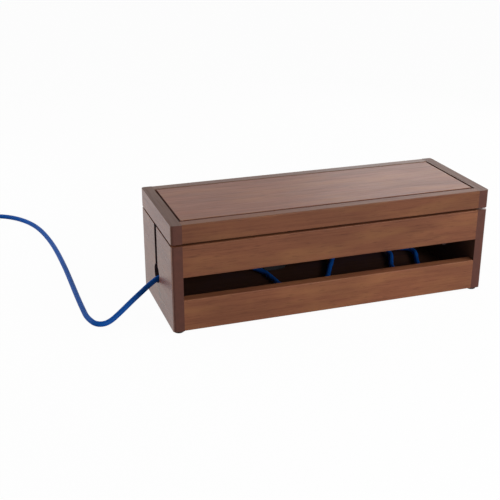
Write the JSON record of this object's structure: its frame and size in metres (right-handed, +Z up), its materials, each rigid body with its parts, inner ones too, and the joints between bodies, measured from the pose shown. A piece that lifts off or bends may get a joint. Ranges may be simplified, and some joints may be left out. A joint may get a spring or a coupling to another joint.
{
  "type": "cable management box",
  "caption": "Long wooden cable box with a slatted front, keyhole cable slots in its ends, a lift-off panelled lid, rubber feet and a flexible mains lead passing through.",
  "frame": {"origin": "middle of the box's length and depth, at the level of the feet's undersides", "axes": "+X along the length to the box's right, +Y from the slatted front to the back, +Z up"},
  "size_m": [0.669, 0.4816, 0.1327],
  "materials": {
    "walnut": "satin walnut stain",
    "walnut_inside": "dull walnut stain",
    "beech": "bare",
    "foot_rubber": "matte",
    "lead_jacket": "satin flexible PVC",
    "moulding": "fine texture",
    "pin_metal": "nickel plated"
  },
  "bodies": {
    "box": {"left_end_panel": "walnut", "right_end_panel": "walnut", "front_lower_slat": "walnut", "front_upper_slat": "walnut", "back_panel": "walnut", "floor_panel": "walnut_inside", "front_left_block": "walnut_inside", "front_right_block": "walnut_inside", "back_left_block": "walnut_inside", "back_right_block": "walnut_inside", "wall_dowels": "beech", "front_left_foot": "foot_rubber", "front_right_foot": "foot_rubber", "back_left_foot": "foot_rubber", "back_right_foot": "foot_rubber", "lead": "lead_jacket", "lead_coil": "lead_jacket", "lead_tail": "lead_jacket", "coil_tie": "moulding", "lead_plug": "moulding", "plug_pins": "pin_metal", "lead_connector": "moulding"},
    "lid": {"lid_left_rail": "walnut", "lid_right_rail": "walnut", "lid_front_rail": "walnut", "lid_back_rail": "walnut", "lid_panel": "walnut", "lid_dowels": "beech"}
  },
  "joints": [
    {"name": "lid_lift", "type": "slide", "parent": "box", "child": "lid", "axis": [0, 0, 1], "range_m": [0, 0.12]}
  ]
}
